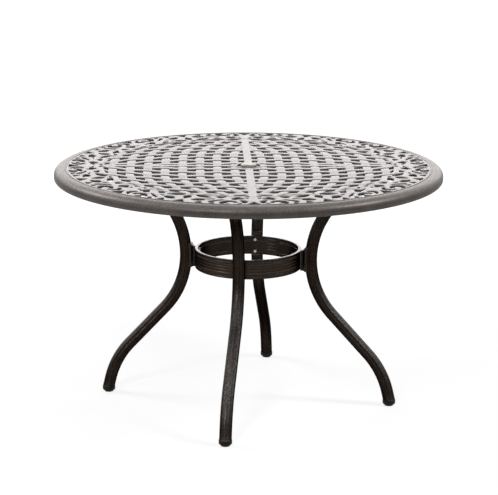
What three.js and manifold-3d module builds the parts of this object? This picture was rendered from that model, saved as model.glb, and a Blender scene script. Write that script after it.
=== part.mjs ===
// Round garden table in cast aluminium, with a hole in the middle for a parasol pole.
// Millimetres, +Z up. The origin is on the floor, under the middle of the top.
// The four bowed legs stand on the X and Y axes, and the front of the table faces -Y.

import * as THREE from 'three';
import { mergeVertices } from 'three/addons/utils/BufferGeometryUtils.js';
import Module from 'manifold-3d';

const wasm = await Module();
wasm.setup();

// The whole table
const table_diameter = 1200;
const table_height = 756.5;
const leg_count = 4;
const touch_gap = 0.3; // clearance between pieces that touch
const overrun = 6; // how far a cut or a hidden root runs past a face
const top_turn = 9.9; // degrees from the legs to the pattern of the top
const round_steps = 48; // facets round the top and its rim

// Rim: a hollow bullnose casting, open underneath, with a bead along its inner edge
const rim_height = 36;
const rim_band = 40;
const rim_wall = 5;
const rim_crown_height = 22;
const crown_fullness_share = 0.85; // 1 is part of an ellipse, and less is fuller at the shoulder
const rim_hem_radius = 6;
const rim_hem_width = 4;
const bead_width = 6;
const bead_height = 1.5;
const ledge_reach = 4;
const ledge_thickness = 4;
const crown_steps = 4;
const lining_steps = 1;
const hem_steps = 1;

// Top panel: one casting with a woven field, four plain seams and a scrolled border
const panel_thickness = 8;
const parasol_hole_diameter = 42;
const hub_diameter = 80;
const hub_depth = 14;
const hub_recess_diameter = 70.5;
const hub_recess_depth = 4.5;
const hub_steps = 24;
const seam_width = 24;
const seam_rib_width = 8;
const seam_rib_depth = 8;

// Weave: openings between strands that run straight, then bend towards the seams
const strand_pitch = 53.5;
const opening_size = 27;
const first_opening = 16.5;
const least_opening = 6;
const straight_reach = 135;
const strand_bend_radius = 560;
const plain_band_width = 112; // from the trimmed edge of the weave to the rim
const seam_count = 4;

// Border: scrollwork that repeats, mirrored about each volute pair
const border_width = 106;
const border_edge = 4; // left of the panel between the border's openings and the rim
const border_repeats = 8;
const volute_eye_radius = 8.5;
const volute_eye_growth = 7;
const volute_slot_width = 10;
const volute_slot_growth = 12;
const volute_slot_start = 78;
const volute_slot_angle = 250;
const volute_slot_steps = 6;
const volute_angle_share = 0.316;
const volute_radius_share = 0.802;
const crescent_width = 15;
const crescent_gap = 19.5;
const crescent_fall = 10.5;
const crescent_start = 134;
const crescent_angle = 84;
const crescent_steps = 4;

// Pointed openings of the border. Each has its angle as a share of half a repeat, its radius,
// length and width as shares of the border's width, the turn of its long axis from outwards as
// a share of 180 degrees, and, as shares of half its length, where it is widest and for how far.
// The first table is mirrored about the axis of each volute pair.
const paired_leaf_shares = [
  [0.529, 0.679, 0.45, 0.104, 0.256, 0, 0.3],
  [0.773, 0.632, 0.39, 0.25, 0.36, 0, 0.5],
  [0.733, 0.88, 0.18, 0.19, 0, 1, 0],
  [0.773, 0.184, 0.53, 0.205, 0.655, 0.2, 0.4],
  [0.502, 0.222, 0.17, 0.17, 0, 0, 0.4],
  [0.24, 0.325, 0.293, 0.31, 0.085, 0.3, 0.15],
];
const single_leaf_shares = [
  [0, 0.858, 0.283, 0.36, 0, 1, 0],
  [1, 0.401, 0.387, 0.226, 0, -0.12, 0.2],
  [1, 0.863, 0.274, 0.34, 0, 1, 0],
  [1, 0.028, 0.113, 0.18, 0, 0, 0.15],
];

// Legs: fluted tube, bowed in to the ring and out again to the foot
const tube_diameter = 38;
const tube_wall = 2.5;
const flute_count = 12;
const flute_depth = 0.9;
const bore_sides = 6;
const waist_radius = 198;
const waist_height = 463.5;
const flange_inset = 249; // from the edge of the top in to the middle of the flange
const foot_inset = 149;
const toe_lean = 13.6;
const toe_straight = 28;
const upper_bend_share = 0.48;
const lower_bend_share = 0.4;
const toe_bend_share = 1.04; // radius of the toe bend as a share of the bow's
const bow_steps = 4;
const toe_steps = 2;

// Flange and its bolts, under a boss of the top panel
const boss_depth = 9;
const boss_margin = 2;
const boss_cover = 1;
const flange_thickness = 6;
const flange_margin = 5;
const flange_corner_radius = 12;
const corner_steps = 2;
const flange_bolt_diameter = 8;
const hexagon_sides = 6;
const flange_bolt_across_flats = 13;
const flange_bolt_head_height = 5.3;
const washer_diameter = 17;
const washer_thickness = 1.5;
const spanner_room = 5;
const bolt_tip_room = 0.5;
const shank_sides = 6;
const washer_sides = 8;

// Ring that ties the legs, and the bracket and bolts at each leg
const ring_thickness = 10;
const ring_width = 60;
const ring_steps = 28;
const ring_groove_width = 4;
const ring_groove_depth = 1;
const ring_groove_shares = [0.2, 0.8];
const bracket_length = 12.5;
const bracket_width = 28;
const bracket_inset = 2;
const bracket_flare = 10;
const bracket_steps = 3;
const ring_bolt_diameter = 6;
const ring_bolt_head_diameter = 11;
const ring_bolt_head_height = 4.5;
const ring_bolt_spacing = 38;
const ring_bolt_end_room = 2.5;

// Foot: a plastic cap on the end of the tube and a screwed glide under it
const cap_height = 14;
const cap_edge_radius = 5;
const cap_edge_steps = 2;
const cap_overhang = 0.6;
const cap_plug_clearance = 0.4;
const cap_plug_end_room = 3;
const cap_steps = 10;
const glide_diameter = 28;
const glide_thickness = 4;
const glide_edge = 1;
const glide_stud_diameter = 8;
const glide_stud_length = 20;
const glide_steps = 10;

// Parasol plug: a drum in the hub's recess that closes the hole and lifts out by hand
const plug_diameter = 49.5;
const plug_rise = 5.4;
const plug_crown = 1;
const plug_edge_radius = 2;
const plug_edge_steps = 2;
const plug_spigot_length = 6;
const plug_clearance = 0.5;

// Heights and radii that follow
const table_radius = table_diameter / 2;
const tube_radius = tube_diameter / 2;
const panel_radius = table_radius - rim_band;
const panel_top = table_height - bead_height;
const panel_bottom = panel_top - panel_thickness;
const hub_bottom = panel_bottom - hub_depth;
const hub_floor = panel_top - hub_recess_depth;
const field_radius = panel_radius - plain_band_width;
const border_outer_radius = panel_radius - border_edge;
const border_inner_radius = border_outer_radius - border_width;
const flange_radius = table_radius - flange_inset;
const foot_radius = table_radius - foot_inset;
const ring_outer_radius = waist_radius - tube_radius - bracket_length;
const ring_inner_radius = ring_outer_radius - ring_thickness;
const ring_bolt_reach = bracket_length - ring_bolt_end_room;
const boss_bottom = panel_bottom - boss_depth;
const flange_top = boss_bottom - touch_gap;
const flange_bottom = flange_top - flange_thickness;
const leg_top = flange_bottom - touch_gap;
const cap_bottom = glide_thickness + touch_gap;
const cap_top = cap_bottom + cap_height;
const leg_bottom = cap_top + touch_gap;
const ring_bottom = waist_height - ring_width / 2;
const ring_top = waist_height + ring_width / 2;

const radians = THREE.MathUtils.degToRad;

// Materials
const bronze = new THREE.MeshStandardMaterial({ color: 0x3b332e, roughness: 0.42, metalness: 0.7 });
const bronze_dark = new THREE.MeshStandardMaterial({ color: 0x2b2420, roughness: 0.38, metalness: 0.7 });
const zinc = new THREE.MeshStandardMaterial({ color: 0xc6c7c9, roughness: 0.3, metalness: 1 });
const black_plastic = new THREE.MeshStandardMaterial({ color: 0x141414, roughness: 0.5, metalness: 0 });

// A geometry as a solid, with shared corners, no flat triangles and faces pointing out
function solid(geometry) {
  const bare = geometry.clone();
  bare.deleteAttribute('normal');
  bare.deleteAttribute('uv');
  const merged = mergeVertices(bare);
  const place = merged.attributes.position;
  const corners = merged.index.array;
  const kept = [];
  let volume = 0;
  const a = new THREE.Vector3();
  const b = new THREE.Vector3();
  const c = new THREE.Vector3();
  for (let i = 0; i < corners.length; i += 3) {
    const [p, q, r] = [corners[i], corners[i + 1], corners[i + 2]];
    if (p === q || q === r || r === p) continue;
    a.fromBufferAttribute(place, p);
    b.fromBufferAttribute(place, q);
    c.fromBufferAttribute(place, r);
    volume += a.dot(b.cross(c));
    kept.push(p, q, r);
  }
  if (volume < 0) kept.reverse();
  return new wasm.Manifold(new wasm.Mesh({
    numProp: 3,
    vertProperties: new Float32Array(place.array),
    triVerts: new Uint32Array(kept),
  }));
}

// A solid as a mesh of flat facets
function mesh(name, body, material) {
  const data = body.getMesh();
  const indexed = new THREE.BufferGeometry();
  indexed.setAttribute('position', new THREE.BufferAttribute(data.vertProperties, data.numProp));
  indexed.setIndex(new THREE.BufferAttribute(data.triVerts, 1));
  const geometry = indexed.toNonIndexed();
  geometry.computeVertexNormals();
  const made = new THREE.Mesh(geometry, material);
  made.name = name;
  return made;
}

// An outline in plan, raised from one height to another
function raised(shape, low, high) {
  const geometry = new THREE.ExtrudeGeometry(shape, { depth: high - low, bevelEnabled: false });
  return geometry.translate(0, 0, low);
}

// Turns a shape made about the Y axis to stand along Z, with its first corner towards X
function upright(geometry) {
  return geometry.rotateX(Math.PI / 2).rotateZ(Math.PI / 2);
}

// A closed profile of radius and height, turned about the Z axis
function turned(profile, steps) {
  const points = [...profile, profile[0]].map(([radius, height]) => new THREE.Vector2(radius, height));
  return upright(new THREE.LatheGeometry(points, steps));
}

// A straight round bar along Z
function bar(radius, low, high, sides) {
  const geometry = new THREE.CylinderGeometry(radius, radius, high - low, sides);
  return upright(geometry).translate(0, 0, (low + high) / 2);
}

// The points of an arc or of part of an ellipse, ends included
function arc(centre, wide, tall, from, to, steps) {
  const points = [];
  for (let i = 0; i <= steps; i += 1) {
    const angle = radians(from + (to - from) * i / steps);
    points.push([centre[0] + wide * Math.cos(angle), centre[1] + tall * Math.sin(angle)]);
  }
  return points;
}

function outline(points) {
  return new THREE.Shape(points.map(([x, y]) => new THREE.Vector2(x, y)));
}

// A round outline about the origin or another place
function round(radius, sides, turn, centre = [0, 0]) {
  return outline(arc(centre, radius, radius, 0, turn, sides).slice(1));
}

// The rim's crown in section, from its top down to its side
function crownLine(centre, wide, tall) {
  const quarter = arc([0, 0], 1, 1, 90, 0, crown_steps);
  return quarter.map(([out, up]) => [
    centre[0] + wide * Math.max(0, out) ** crown_fullness_share,
    centre[1] + tall * Math.max(0, up) ** crown_fullness_share,
  ]);
}

// Rim casting, turned from its hollow section
function rim() {
  const bead_end = panel_radius + bead_width;
  const crown = [bead_end, panel_top - rim_crown_height];
  const hem = [table_radius - rim_hem_radius, table_height - rim_height + rim_hem_radius];
  const hem_end = hem[0] - rim_hem_width;
  const inside = table_radius - rim_wall - bead_end;
  const ledge_top = panel_bottom - touch_gap;
  const ledge_bottom = ledge_top - ledge_thickness;
  const seat = panel_radius + touch_gap;
  const profile = [
    [seat, panel_top],
    [panel_radius + bead_width / 2, table_height],
    ...crownLine(crown, table_radius - bead_end, rim_crown_height),
    ...arc(hem, rim_hem_radius, rim_hem_radius, 0, -90, hem_steps),
    [hem_end, hem[1] - rim_hem_radius],
    [table_radius - rim_wall, hem[1]],
    ...arc(crown, inside, rim_crown_height - rim_wall, 0, 90, lining_steps),
    [bead_end, ledge_bottom],
    [seat - ledge_reach, ledge_bottom],
    [seat - ledge_reach, ledge_top],
    [seat, ledge_top],
  ];
  return solid(turned(profile, round_steps));
}

// A point in plan, drawn in to a circle where it lies outside
function within(limit, [x, y]) {
  const share = Math.min(1, limit / Math.hypot(x, y));
  return [x * share, y * share];
}

// How far the strands have bent towards a seam at this distance from the middle
function bend(distance) {
  return Math.max(0, distance - straight_reach) ** 2 / (2 * strand_bend_radius);
}

// One opening of the weave in the first quadrant, trimmed by the field's round edge, or nothing
// where a seam, the hub or the plain band covers it
function weaveOpening(across, along) {
  const half = opening_size / 2;
  const edge = seam_width / 2;
  const corners = [[-half, -half], [half, -half], [half, half], [-half, half]];
  const points = corners.map(([dx, dy]) => {
    const u = across + dx;
    const v = along + dy;
    const point = [Math.max(edge, u - bend(v)), Math.max(edge, v - bend(u))];
    return within(field_radius, point);
  });
  const wide = Math.min(points[1][0] - points[0][0], points[2][0] - points[3][0]);
  const tall = Math.min(points[3][1] - points[0][1], points[2][1] - points[1][1]);
  const inner = Math.hypot(points[0][0], points[0][1]);
  if (wide < least_opening || tall < least_opening) return null;
  if (inner > field_radius - least_opening || inner < hub_diameter / 2 + least_opening) return null;
  return points;
}

function weaveOpenings() {
  const openings = [];
  for (let u = first_opening; u < panel_radius; u += strand_pitch) {
    for (let v = first_opening; v < panel_radius; v += strand_pitch) {
      const points = weaveOpening(u, v);
      if (points) openings.push(points);
    }
  }
  return openings;
}

// A point of the border, from a place on its half repeat and an offset outwards and sideways
function borderPoint(angle_share, radius_share, outwards, sideways) {
  const radius = border_inner_radius + border_width * radius_share;
  const angle = radians(180 / border_repeats * angle_share);
  const reach = radius + outwards;
  return within(border_outer_radius, [
    reach * Math.cos(angle) - sideways * Math.sin(angle),
    reach * Math.sin(angle) + sideways * Math.cos(angle),
  ]);
}

// A pointed opening: a tip, its widest stretch, and a second tip or a straight end
function leaf(shares) {
  const [angle_share, radius_share, length_share, width_share] = shares;
  const [turn_share, middle_share, side_share] = shares.slice(4);
  const half = border_width * length_share / 2;
  const side = border_width * width_share / 2;
  const turn = Math.PI * turn_share;
  const shoulders = [...new Set([middle_share - side_share, middle_share + side_share])];
  const local = [[-half, 0]];
  shoulders.forEach((share) => local.push([share * half, side]));
  if (shoulders.at(-1) < 1) local.push([half, 0]);
  shoulders.toReversed().forEach((share) => local.push([share * half, -side]));
  return local.map(([along, off]) => borderPoint(
    angle_share,
    radius_share,
    along * Math.cos(turn) - off * Math.sin(turn),
    along * Math.sin(turn) + off * Math.cos(turn),
  )).reverse();
}

// A curved opening that starts on the axis side of the volute's middle, at an angle from
// outwards, and goes round it between an inner and an outer radius at each step
function voluteBand(start, sweep, steps, inner, outer) {
  const near = [];
  const far = [];
  for (let i = 0; i <= steps; i += 1) {
    const share = i / steps;
    const angle = radians(sweep * share - start);
    const place = (radius) => borderPoint(
      volute_angle_share,
      volute_radius_share,
      radius * Math.cos(angle),
      radius * Math.sin(angle),
    );
    if (inner(share) < outer(share)) near.push(place(inner(share)));
    far.push(place(outer(share)));
  }
  const points = [...far, ...near.toReversed()];
  return sweep < 0 ? points.reverse() : points;
}

// The slot starts beside the eye, winds round it and widens until it meets the border's edge
function voluteSlot() {
  const eye = (share) => volute_eye_radius + volute_eye_growth * share ** 3;
  const far_side = (share) => eye(share) + volute_slot_width + volute_slot_growth * share;
  return voluteBand(volute_slot_start, -volute_slot_angle, volute_slot_steps, eye, far_side);
}

// The crescent lies outside the slot, on the side of the axis
function voluteCrescent() {
  const widest = volute_eye_radius + volute_slot_width + crescent_gap;
  const back = (share) => widest - crescent_fall * share;
  const swell = (share) => back(share) + crescent_width * Math.sin(Math.PI * share);
  return voluteBand(crescent_start, crescent_angle, crescent_steps, back, swell);
}

function borderOpenings() {
  const paired = [voluteSlot(), voluteCrescent(), ...paired_leaf_shares.map(leaf)];
  const mirrored = paired.map((points) => points.map(([x, y]) => [x, -y]).reverse());
  return [...paired, ...mirrored, ...single_leaf_shares.map(leaf)];
}

// Rounded plate of the flange, or the boss above it, with its long side across the leg
function plateOutline(length, width, corner) {
  const x = length / 2 - corner;
  const y = width / 2 - corner;
  return outline([
    ...arc([x, y], corner, corner, 0, 90, corner_steps),
    ...arc([-x, y], corner, corner, 90, 180, corner_steps),
    ...arc([-x, -y], corner, corner, 180, 270, corner_steps),
    ...arc([x, -y], corner, corner, 270, 360, corner_steps),
  ]);
}

// Slope of the leg where it meets the flange, from upright
const upper_chord = Math.atan2(flange_radius - waist_radius, leg_top - waist_height);
const upper_slope = (1 + upper_bend_share) * upper_chord;
const flange_length = tube_diameter / Math.cos(upper_slope) + 2 * flange_margin;
const flange_bolt_offset = tube_radius + spanner_room + washer_diameter / 2;
const flange_width = 2 * (flange_bolt_offset + washer_diameter / 2 + flange_margin);
const flange_hole_radius = flange_bolt_diameter / 2 + touch_gap;
const bolt_hole_end = panel_bottom - boss_cover;

// Top panel with its openings, hub, seam ribs and bosses
function panel() {
  const disc = bar(panel_radius, panel_bottom, panel_top, round_steps);
  const cutters = [];
  const cut = (points, turn) => {
    const cutter = raised(outline(points), panel_bottom - overrun, panel_top + overrun);
    cutters.push(solid(cutter.rotateZ(turn)));
  };
  const weave = weaveOpenings();
  for (let i = 0; i < seam_count; i += 1) {
    weave.forEach((points) => cut(points, radians(top_turn) + 2 * Math.PI * i / seam_count));
  }
  const border = borderOpenings();
  for (let i = 0; i < border_repeats; i += 1) {
    border.forEach((points) => cut(points, radians(top_turn) + 2 * Math.PI * i / border_repeats));
  }
  let body = solid(disc).subtract(wasm.Manifold.union(cutters));

  const root = (panel_bottom + panel_top) / 2;
  const rib_bottom = panel_bottom - seam_rib_depth;
  const backing = [solid(bar(hub_diameter / 2, hub_bottom, root, hub_steps))];
  for (let i = 0; i < seam_count; i += 1) {
    const rib = new THREE.BoxGeometry(border_inner_radius, seam_rib_width, root - rib_bottom);
    rib.translate(border_inner_radius / 2, 0, (root + rib_bottom) / 2);
    backing.push(solid(rib.rotateZ(radians(top_turn) + 2 * Math.PI * i / seam_count)));
  }
  const boss = plateOutline(
    flange_length + 2 * boss_margin,
    flange_width + 2 * boss_margin,
    flange_corner_radius + boss_margin,
  );
  const holes = [
    solid(bar(parasol_hole_diameter / 2, hub_bottom - overrun, panel_top + overrun, hub_steps)),
    solid(bar(hub_recess_diameter / 2, hub_floor, panel_top + overrun, hub_steps)),
  ];
  for (let i = 0; i < leg_count; i += 1) {
    const turn = 2 * Math.PI * i / leg_count;
    const lifted = raised(boss, boss_bottom, panel_bottom + boss_cover);
    backing.push(solid(lifted.translate(flange_radius, 0, 0).rotateZ(turn)));
    for (const side of [-1, 1]) {
      const hole = bar(flange_hole_radius, boss_bottom - overrun, bolt_hole_end, shank_sides);
      holes.push(solid(hole.translate(flange_radius, side * flange_bolt_offset, 0).rotateZ(turn)));
    }
  }
  body = body.add(wasm.Manifold.union(backing));
  return body.subtract(wasm.Manifold.union(holes));
}

// Centre line of a leg in its own upright plane: two bows meet at the waist, and the lower
// one runs into a straight shin and a reverse bend at the toe. Both ends run on past their cuts.
class LegLine extends THREE.Curve {
  constructor() {
    super();
    const rise = leg_top - waist_height;
    const spread = flange_radius - waist_radius;
    const upper_turn = 1 - Math.cos(upper_slope);
    const bow = (rise * Math.sin(upper_slope) - spread * Math.cos(upper_slope)) / upper_turn;
    const lean = radians(toe_lean);
    const drop = waist_height - leg_bottom - toe_straight * Math.cos(lean);
    const stride = foot_radius - waist_radius - toe_straight * Math.sin(lean);
    const slope = (1 + lower_bend_share) * Math.atan2(stride, drop);
    const turn = (1 - Math.cos(slope)) + toe_bend_share * (1 - Math.cos(slope - lean));
    const lower_bow = (drop * Math.sin(slope) - stride * Math.cos(slope)) / turn;
    const toe_bend = toe_bend_share * lower_bow;

    const past_top = tube_radius * Math.tan(upper_slope) + overrun;
    const past_foot = tube_radius * Math.tan(lean) + overrun;
    this.stations = [this.step(flange_radius, leg_top, upper_slope, past_top)];
    for (let i = bow_steps; i > 0; i -= 1) {
      const angle = upper_slope * i / bow_steps;
      const radius = waist_radius + bow * (1 - Math.cos(angle));
      this.stations.push([radius, waist_height + bow * Math.sin(angle), -angle]);
    }
    for (let i = 0; i <= bow_steps; i += 1) {
      const angle = slope * i / bow_steps;
      const radius = waist_radius + lower_bow * (1 - Math.cos(angle));
      this.stations.push([radius, waist_height - lower_bow * Math.sin(angle), angle]);
    }
    const toe_start = [
      foot_radius - toe_straight * Math.sin(lean),
      leg_bottom + toe_straight * Math.cos(lean),
    ];
    for (let i = 0; i <= toe_steps; i += 1) {
      const angle = slope + (lean - slope) * i / toe_steps;
      this.stations.push([
        toe_start[0] - toe_bend * (Math.cos(lean) - Math.cos(angle)),
        toe_start[1] + toe_bend * (Math.sin(angle) - Math.sin(lean)),
        angle,
      ]);
    }
    this.stations.push(this.step(foot_radius, leg_bottom, -lean, -past_foot));
  }

  // A station moved along its own direction, upwards for a positive distance
  step(radius, height, slope, distance) {
    return [radius + distance * Math.sin(slope), height + distance * Math.cos(slope), -slope];
  }

  get steps() {
    return this.stations.length - 1;
  }

  station(t) {
    return this.stations[Math.round(t * this.steps)];
  }

  getPointAt(t, target = new THREE.Vector3()) {
    const [radius, height] = this.station(t);
    return target.set(radius, 0, height);
  }

  getTangentAt(t, target = new THREE.Vector3()) {
    const slope = this.station(t)[2];
    return target.set(Math.sin(slope), 0, -Math.cos(slope));
  }

  getPoint(t, target) {
    return this.getPointAt(t, target);
  }
}

const leg_line = new LegLine();

// A section swept down the leg's centre line
function sweptLeg(section) {
  return solid(new THREE.ExtrudeGeometry(section, { steps: leg_line.steps, extrudePath: leg_line }));
}

// Fluted tube, cut level under the flange and above the foot cap
function leg() {
  const points = [];
  for (let i = 0; i < 2 * flute_count; i += 1) {
    const angle = Math.PI * i / flute_count;
    const radius = tube_radius - (i % 2) * flute_depth;
    points.push([radius * Math.cos(angle), radius * Math.sin(angle)]);
  }
  const section = outline(points);
  section.holes.push(round(tube_radius - tube_wall, bore_sides, -360));
  const slab = new THREE.BoxGeometry(table_diameter, table_diameter, leg_top - leg_bottom);
  slab.translate(0, 0, (leg_top + leg_bottom) / 2);
  return sweptLeg(section).intersect(solid(slab));
}

function flange() {
  const plate = plateOutline(flange_length, flange_width, flange_corner_radius);
  for (const side of [-1, 1]) {
    plate.holes.push(round(flange_hole_radius, shank_sides, -360, [0, side * flange_bolt_offset]));
  }
  return solid(raised(plate, flange_bottom, flange_top).translate(flange_radius, 0, 0));
}

// Washer and hexagon bolt, hanging from the flange at one side of the tube
const washer_top = flange_bottom - touch_gap;
const washer_bottom = washer_top - washer_thickness;
const bolt_seat = washer_bottom - touch_gap;

function washer(side) {
  const disc = round(washer_diameter / 2, washer_sides, 360);
  disc.holes.push(round(flange_hole_radius, shank_sides, -360));
  const ring = raised(disc, washer_bottom, washer_top);
  return solid(ring.translate(flange_radius, side * flange_bolt_offset, 0));
}

function flangeBolt(side) {
  const head_radius = flange_bolt_across_flats / 2 / Math.cos(Math.PI / hexagon_sides);
  const head = solid(bar(head_radius, bolt_seat - flange_bolt_head_height, bolt_seat, hexagon_sides));
  const root = bolt_seat - flange_bolt_head_height / 2;
  const shank = solid(bar(flange_bolt_diameter / 2, root, bolt_hole_end - bolt_tip_room, shank_sides));
  return head.add(shank).translate([flange_radius, side * flange_bolt_offset, 0]);
}

// One face of the ring's section, with its grooves, from its foot to its head
function ringFace(radius, inwards) {
  const points = [[radius, ring_bottom]];
  for (const share of ring_groove_shares) {
    const middle = ring_bottom + ring_width * share;
    points.push([radius, middle - ring_groove_width / 2]);
    points.push([radius + inwards * ring_groove_depth, middle]);
    points.push([radius, middle + ring_groove_width / 2]);
  }
  points.push([radius, ring_top]);
  return points;
}

const ring_half_step = Math.PI / ring_steps; // turns a flat facet of the ring to face each leg
const ring_seat = ring_inner_radius * Math.cos(ring_half_step);

// Rolled bar with grooves in both faces and two bolt holes at each leg
function ring() {
  const profile = [...ringFace(ring_outer_radius, -1), ...ringFace(ring_inner_radius, 1).toReversed()];
  const holes = [];
  for (let i = 0; i < leg_count; i += 1) {
    for (const side of [-1, 1]) holes.push(ringBoltHole(side).rotate([0, 0, 360 * i / leg_count]));
  }
  return solid(turned(profile, ring_steps).rotateZ(ring_half_step)).subtract(wasm.Manifold.union(holes));
}

// Clearance for a ring bolt, through the ring and into the bracket
function ringBoltHole(side) {
  const depth = ring_thickness + ring_bolt_reach;
  const hole = bar(ring_bolt_diameter / 2 + touch_gap, -overrun, depth, shank_sides).rotateY(Math.PI / 2);
  return solid(hole.translate(ring_inner_radius, 0, waist_height + side * ring_bolt_spacing / 2));
}

// Cast web between ring and leg: it flares to the tube in two hollow curves
function bracket() {
  const ring_face = ring_outer_radius + touch_gap;
  const half = ring_width / 2 - bracket_inset;
  const reach = waist_radius - tube_radius - ring_face;
  const flared = waist_height + half + bracket_flare;
  const upper = [
    ...arc([ring_face, flared], reach, bracket_flare, -90, 0, bracket_steps),
    [waist_radius, flared],
  ];
  const lower = upper.map(([radius, height]) => [radius, 2 * waist_height - height]).reverse();
  const side = outline([[ring_face - overrun, waist_height + half], ...upper, ...lower,
    [ring_face - overrun, waist_height - half]]);
  const web = raised(side, -bracket_width / 2, bracket_width / 2).rotateX(Math.PI / 2);
  const seat = round(tube_radius + touch_gap, 2 * flute_count, 360);
  const inside = bar(ring_face, ring_bottom - overrun, ring_top + overrun, ring_steps);
  const body = solid(web).subtract(sweptLeg(seat)).subtract(solid(inside.rotateZ(ring_half_step)));
  const parts = body.subtract(ringBoltHole(-1)).subtract(ringBoltHole(1)).decompose();
  const start = (part) => part.boundingBox().min[0];
  return parts.reduce((best, part) => (start(part) < start(best) ? part : best));
}

// Round-headed bolt through the ring from the inside
function ringBolt(side) {
  const seat = -touch_gap;
  const head = ring_bolt_head_diameter / 2;
  const shank = ring_bolt_diameter / 2;
  const tip = ring_thickness + ring_bolt_reach;
  const profile = [
    [0, seat - ring_bolt_head_height],
    [head / 2, seat - ring_bolt_head_height],
    [head, seat - ring_bolt_head_height / 2],
    [head, seat],
    [shank, seat],
    [shank, tip],
    [0, tip],
  ];
  const body = turned(profile, shank_sides).rotateY(Math.PI / 2);
  return solid(body.translate(ring_seat, 0, waist_height + side * ring_bolt_spacing / 2));
}

// Rounded cap, level under the tube, with a leaning plug in the bore and a socket for the glide
function footCap() {
  const edge = tube_radius / Math.cos(radians(toe_lean)) + cap_overhang;
  const corner = [edge - cap_edge_radius, cap_bottom + cap_edge_radius];
  const profile = [
    [0, cap_bottom],
    ...arc(corner, cap_edge_radius, cap_edge_radius, -90, 0, cap_edge_steps),
    [edge, cap_top],
    [0, cap_top],
  ];
  const bore = (tube_radius - tube_wall) * Math.cos(Math.PI / bore_sides);
  const plug_end = toe_straight - cap_plug_end_room;
  const plug = bar(bore - cap_plug_clearance, -cap_height / 2, plug_end, cap_steps);
  plug.rotateY(-radians(toe_lean)).translate(foot_radius, 0, leg_bottom);
  const depth = glide_stud_length + glide_thickness;
  const socket = bar(glide_stud_diameter / 2 + touch_gap, 0, depth, glide_steps);
  const dome = turned(profile, cap_steps).translate(foot_radius, 0, 0);
  return solid(dome).add(solid(plug)).subtract(solid(socket.translate(foot_radius, 0, 0)));
}

// Screwed glide: a flat pad on a stud
function glide() {
  const pad = glide_diameter / 2;
  const stud = glide_stud_diameter / 2;
  const profile = [
    [0, 0],
    [pad - glide_edge, 0],
    [pad, glide_edge],
    [pad, glide_thickness - glide_edge],
    [pad - glide_edge, glide_thickness],
    [stud, glide_thickness],
    [stud, glide_stud_length],
    [0, glide_stud_length],
  ];
  return solid(turned(profile, glide_steps).translate(foot_radius, 0, 0));
}

// Plug of the parasol hole: a drum with a crowned top and a short spigot
function parasolPlug() {
  const drum = plug_diameter / 2;
  const spigot = parasol_hole_diameter / 2 - plug_clearance;
  const seat = hub_floor + touch_gap;
  const top = panel_top + plug_rise;
  const shoulder = top - plug_crown;
  const corner = [drum - plug_edge_radius, shoulder - plug_edge_radius];
  const profile = [
    [0, seat - plug_spigot_length],
    [spigot, seat - plug_spigot_length],
    [spigot, seat],
    [drum, seat],
    ...arc(corner, plug_edge_radius, plug_edge_radius, 0, 90, plug_edge_steps),
    [0, top],
  ];
  return solid(turned(profile, hub_steps));
}

// Everything that one leg brings, in the leg's own plane
function legSet(place) {
  const set = new THREE.Group();
  set.add(mesh(`leg_${place}`, leg(), bronze_dark));
  set.add(mesh(`leg_flange_${place}`, flange(), bronze_dark));
  set.add(mesh(`ring_bracket_${place}`, bracket(), bronze_dark));
  set.add(mesh(`foot_cap_${place}`, footCap(), black_plastic));
  set.add(mesh(`levelling_glide_${place}`, glide(), black_plastic));
  for (const [label, side] of [['a', -1], ['b', 1]]) {
    set.add(mesh(`flange_washer_${place}_${label}`, washer(side), zinc));
    set.add(mesh(`flange_bolt_${place}_${label}`, flangeBolt(side), zinc));
    set.add(mesh(`ring_bolt_${place}_${label}`, ringBolt(side), zinc));
  }
  return set;
}

const table = new THREE.Group();
table.name = 'garden_table';
table.add(mesh('cast_rim', rim(), bronze));
table.add(mesh('cast_top', panel(), bronze));
table.add(mesh('stretcher_ring', ring(), bronze_dark));
table.add(mesh('parasol_plug', parasolPlug(), bronze));
['right', 'back', 'left', 'front'].forEach((place, i) => {
  const set = legSet(place);
  set.rotation.z = 2 * Math.PI * i / leg_count;
  table.add(set);
});

export default table;
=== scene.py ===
# %% [markdown]
# # A round garden table in cast aluminium
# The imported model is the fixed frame: it says where every piece sits and how big it is.
# Each cell below explains one piece or finish of the real table, and then makes it.
# Lengths are in millimetres until a mesh is made, because that is how the table is measured.

# %% Load the frame
import math

import bmesh
import bpy
import numpy as np
from mathutils import Matrix, Vector, kdtree
from mathutils.geometry import delaunay_2d_cdt


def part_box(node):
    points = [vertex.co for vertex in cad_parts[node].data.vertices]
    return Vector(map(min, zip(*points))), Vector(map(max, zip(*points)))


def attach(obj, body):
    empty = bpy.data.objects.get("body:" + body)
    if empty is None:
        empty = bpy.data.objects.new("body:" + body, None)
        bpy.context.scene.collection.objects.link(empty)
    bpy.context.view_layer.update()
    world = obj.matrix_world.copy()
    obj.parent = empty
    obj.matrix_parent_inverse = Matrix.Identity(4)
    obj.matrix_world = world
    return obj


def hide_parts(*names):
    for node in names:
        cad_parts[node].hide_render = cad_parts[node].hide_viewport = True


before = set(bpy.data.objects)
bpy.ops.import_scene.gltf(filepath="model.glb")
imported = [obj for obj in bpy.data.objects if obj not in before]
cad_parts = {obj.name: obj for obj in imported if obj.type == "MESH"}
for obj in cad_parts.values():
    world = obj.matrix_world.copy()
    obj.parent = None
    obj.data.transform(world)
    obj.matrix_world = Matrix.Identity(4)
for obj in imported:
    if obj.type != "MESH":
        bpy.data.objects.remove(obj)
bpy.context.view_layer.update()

# %% [markdown]
# ## Sizes
# What the frame can tell is read from the frame, so that the two can't drift apart.
# The few sizes that a box can't give, such as how a leg bends, are written once, in the cell of
# the piece that needs them.

# %% Sizes of the frame, in millimetres
MM = 0.001
PLACES = ("right", "back", "left", "front")


def extent(node):
    low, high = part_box(node)
    return np.array(low) / MM, np.array(high) / MM


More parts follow.
